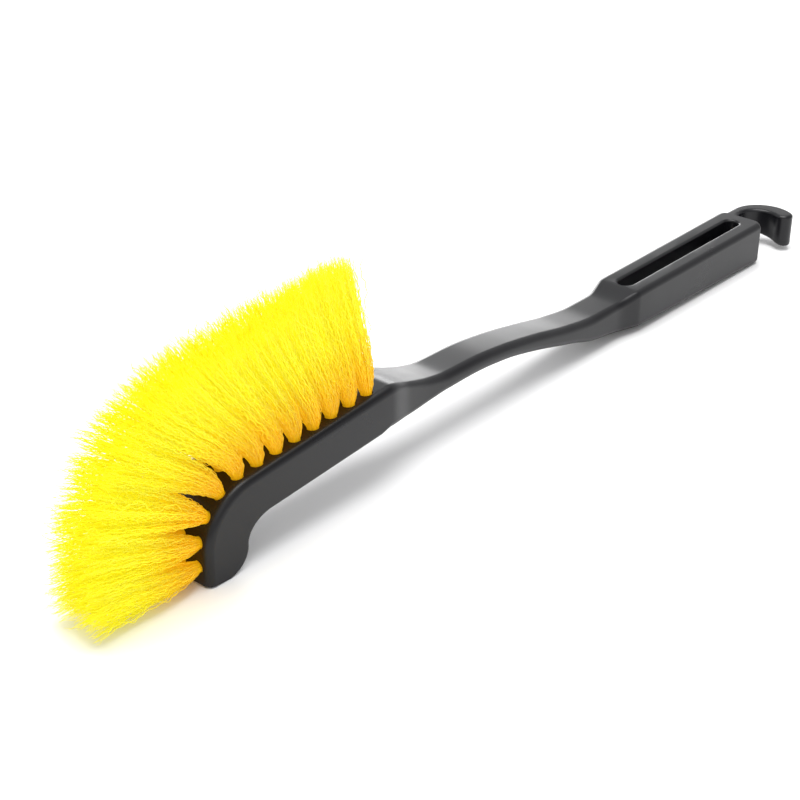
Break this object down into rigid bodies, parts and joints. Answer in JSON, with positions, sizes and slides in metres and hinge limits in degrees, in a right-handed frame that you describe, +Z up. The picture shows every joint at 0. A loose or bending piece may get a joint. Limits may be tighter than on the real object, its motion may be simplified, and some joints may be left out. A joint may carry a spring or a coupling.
{
  "type": "wheel brush",
  "caption": "Hand brush for washing wheels: moulded body with a curved nose, arched neck, slotted grip and end hook, set with rows of long soft filament tufts that fan round the nose.",
  "frame": {"origin": "middle of the brush's box, at the height of the surface it lies on", "axes": "+X from the nose towards the hook, +Y across the head, away from the hook's tip, +Z up, the way the tufts point"},
  "size_m": [0.4248, 0.0278, 0.085],
  "materials": {
    "black_plastic": "satin moulded",
    "bristle": "crimped filament with frayed tips",
    "anchor_steel": "flat wire"
  },
  "bodies": {
    "root": {"brush_body": "black_plastic", "tuft_row_01": "bristle", "tuft_row_02": "bristle", "tuft_row_03": "bristle", "tuft_row_04": "bristle", "tuft_row_05": "bristle", "tuft_row_06": "bristle", "tuft_row_07": "bristle", "tuft_row_08": "bristle", "tuft_row_09": "bristle", "tuft_row_10": "bristle", "tuft_row_11": "bristle", "tuft_row_12": "bristle", "anchor_01_a": "anchor_steel", "anchor_01_b": "anchor_steel", "anchor_01_c": "anchor_steel", "anchor_02_a": "anchor_steel", "anchor_02_b": "anchor_steel", "anchor_02_c": "anchor_steel", "anchor_03_a": "anchor_steel", "anchor_03_b": "anchor_steel", "anchor_03_c": "anchor_steel", "anchor_04_a": "anchor_steel", "anchor_04_b": "anchor_steel", "anchor_04_c": "anchor_steel", "anchor_05_a": "anchor_steel", "anchor_05_b": "anchor_steel", "anchor_05_c": "anchor_steel", "anchor_06_a": "anchor_steel", "anchor_06_b": "anchor_steel", "anchor_06_c": "anchor_steel", "anchor_07_a": "anchor_steel", "anchor_07_b": "anchor_steel", "anchor_07_c": "anchor_steel", "anchor_08_a": "anchor_steel", "anchor_08_b": "anchor_steel", "anchor_08_c": "anchor_steel", "anchor_09_a": "anchor_steel", "anchor_09_b": "anchor_steel", "anchor_09_c": "anchor_steel", "anchor_10_a": "anchor_steel", "anchor_10_b": "anchor_steel", "anchor_10_c": "anchor_steel", "anchor_11_a": "anchor_steel", "anchor_11_b": "anchor_steel", "anchor_11_c": "anchor_steel", "anchor_12_a": "anchor_steel", "anchor_12_b": "anchor_steel", "anchor_12_c": "anchor_steel"}
  },
  "joints": []
}
